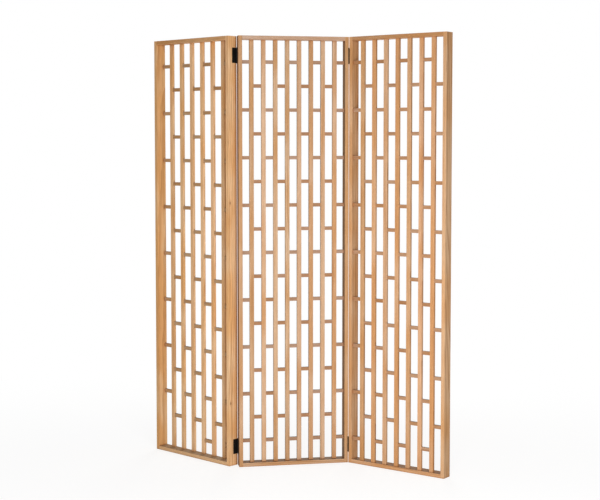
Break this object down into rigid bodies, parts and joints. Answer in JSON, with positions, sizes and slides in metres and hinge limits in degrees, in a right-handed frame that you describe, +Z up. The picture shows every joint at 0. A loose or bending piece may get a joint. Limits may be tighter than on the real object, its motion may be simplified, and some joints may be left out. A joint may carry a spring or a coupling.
{
  "type": "folding screen",
  "caption": "Free-standing folding screen of hinged open wooden lattice panels: short rungs staggered between upright slats in slim frames, on black butt hinges.",
  "frame": {"origin": "on the floor, at the middle of the middle panel's underside", "axes": "+Z up; +X along the middle panel towards the right panel; -Y is the front, the side the picture was taken from"},
  "size_m": [1.0762, 0.7191, 1.7],
  "materials": {
    "frame_wood": "oiled honey-toned softwood, satin, with grain along each piece and small knots",
    "lattice_wood": "the same oiled softwood, satin",
    "hinge_metal": "black, semi-matt, worn a little at the edges",
    "screw_steel": "blackened steel"
  },
  "bodies": {
    "middle_panel": {"left_joint_lower_hinge_middle_leaf": "hinge_metal", "left_joint_lower_hinge_pin": "hinge_metal", "left_joint_middle_screws": "screw_steel", "left_joint_upper_hinge_middle_leaf": "hinge_metal", "left_joint_upper_hinge_pin": "hinge_metal", "middle_panel_bottom_rail": "frame_wood", "middle_panel_left_stile": "frame_wood", "middle_panel_right_stile": "frame_wood", "middle_panel_rungs_even_columns": "lattice_wood", "middle_panel_rungs_odd_columns": "lattice_wood", "middle_panel_slat_1": "lattice_wood", "middle_panel_slat_2": "lattice_wood", "middle_panel_slat_3": "lattice_wood", "middle_panel_slat_4": "lattice_wood", "middle_panel_slat_5": "lattice_wood", "middle_panel_slat_6": "lattice_wood", "middle_panel_slat_7": "lattice_wood", "middle_panel_slat_8": "lattice_wood", "middle_panel_top_rail": "frame_wood", "right_joint_lower_hinge_middle_leaf": "hinge_metal", "right_joint_lower_hinge_pin": "hinge_metal", "right_joint_middle_screws": "screw_steel", "right_joint_upper_hinge_middle_leaf": "hinge_metal", "right_joint_upper_hinge_pin": "hinge_metal"},
    "left_panel": {"left_joint_lower_hinge_side_leaf": "hinge_metal", "left_joint_side_screws": "screw_steel", "left_joint_upper_hinge_side_leaf": "hinge_metal", "left_panel_bottom_rail": "frame_wood", "left_panel_left_stile": "frame_wood", "left_panel_right_stile": "frame_wood", "left_panel_rungs_even_columns": "lattice_wood", "left_panel_rungs_odd_columns": "lattice_wood", "left_panel_slat_1": "lattice_wood", "left_panel_slat_2": "lattice_wood", "left_panel_slat_3": "lattice_wood", "left_panel_slat_4": "lattice_wood", "left_panel_slat_5": "lattice_wood", "left_panel_slat_6": "lattice_wood", "left_panel_top_rail": "frame_wood"},
    "right_panel": {"right_joint_lower_hinge_side_leaf": "hinge_metal", "right_joint_side_screws": "screw_steel", "right_joint_upper_hinge_side_leaf": "hinge_metal", "right_panel_bottom_rail": "frame_wood", "right_panel_left_stile": "frame_wood", "right_panel_right_stile": "frame_wood", "right_panel_rungs_even_columns": "lattice_wood", "right_panel_rungs_odd_columns": "lattice_wood", "right_panel_slat_1": "lattice_wood", "right_panel_slat_2": "lattice_wood", "right_panel_slat_3": "lattice_wood", "right_panel_slat_4": "lattice_wood", "right_panel_slat_5": "lattice_wood", "right_panel_slat_6": "lattice_wood", "right_panel_slat_7": "lattice_wood", "right_panel_top_rail": "frame_wood"}
  },
  "joints": [
    {"name": "left_hinges", "type": "hinge", "parent": "middle_panel", "child": "left_panel", "pos_m": [-0.2203, 0.0236, 0.85], "axis": [0, 0, 1], "range_deg": [-126.5, 53.5]},
    {"name": "right_hinges", "type": "hinge", "parent": "middle_panel", "child": "right_panel", "pos_m": [0.2203, -0.0236, 0.85], "axis": [0, 0, 1], "range_deg": [-133.5, 46.5]}
  ]
}
